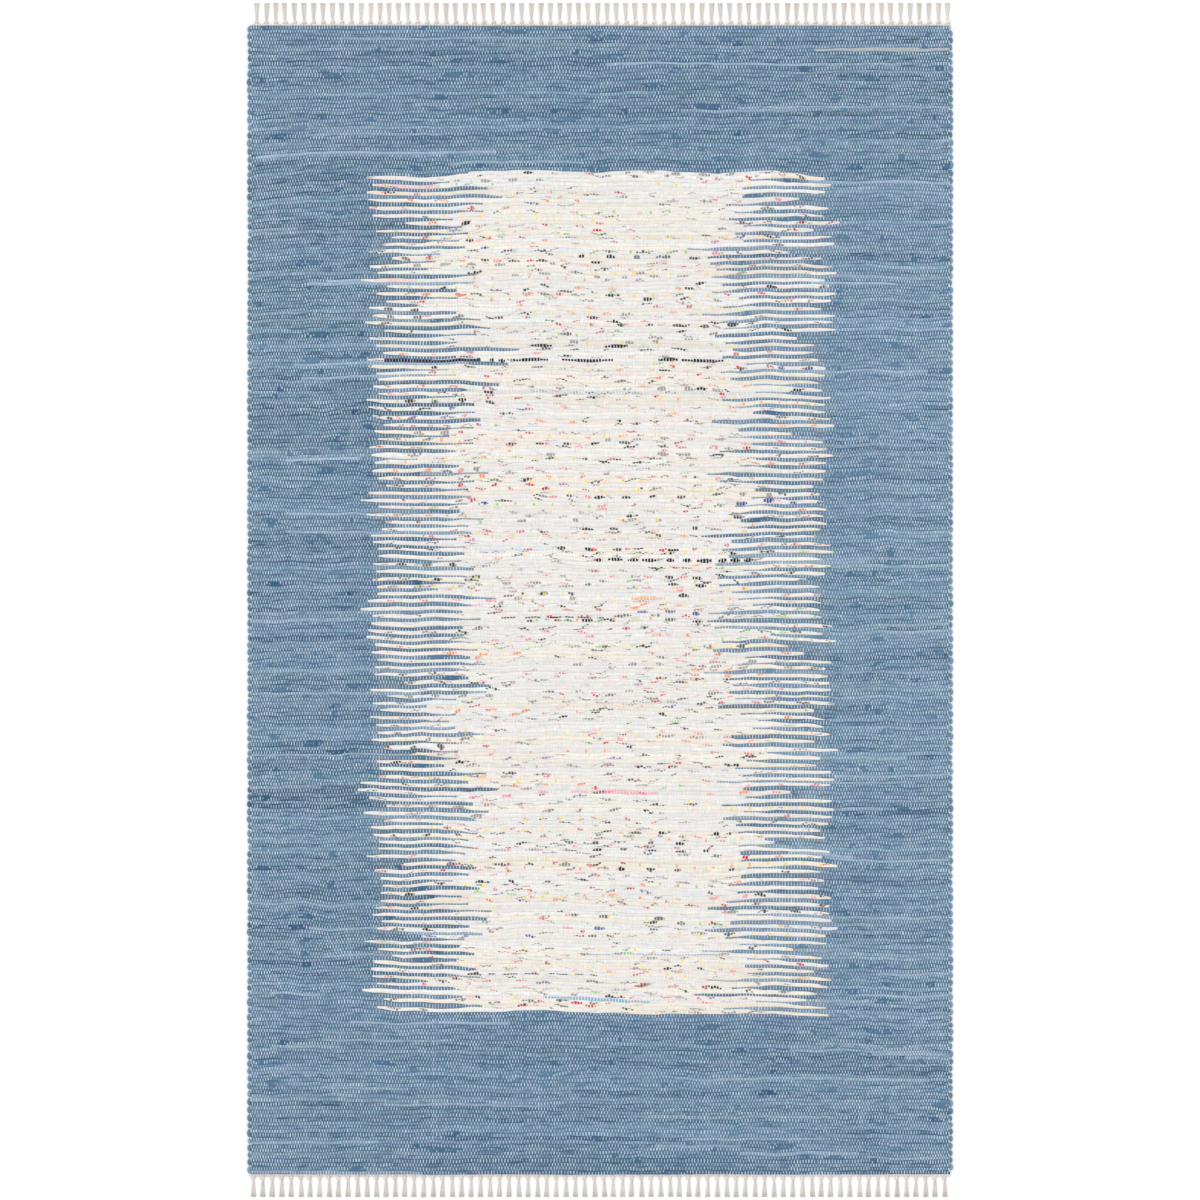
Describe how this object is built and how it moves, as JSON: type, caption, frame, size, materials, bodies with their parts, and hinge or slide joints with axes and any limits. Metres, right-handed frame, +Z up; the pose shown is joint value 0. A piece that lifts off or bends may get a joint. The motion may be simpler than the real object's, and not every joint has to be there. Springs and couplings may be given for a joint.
{
  "type": "handwoven rag rug",
  "caption": "Flat handwoven cotton rag rug with a blue border, a pale flecked field whose sides interlock in comb-like teeth, and a knotted tassel fringe at both ends.",
  "frame": {"origin": "middle of the underside, on the floor", "axes": "+X across the rug along its weft rows, +Y along its warp towards the far fringe, +Z up"},
  "size_m": [1.524, 2.5815, 0.0062],
  "materials": {
    "rag_weft": "matt torn cotton strips, washed blue with a pale flecked middle",
    "warp_yarn": "matt ivory cotton yarn"
  },
  "bodies": {
    "root": {"woven_cloth": "rag_weft", "fringe_far": "warp_yarn", "fringe_near": "warp_yarn"}
  },
  "joints": []
}
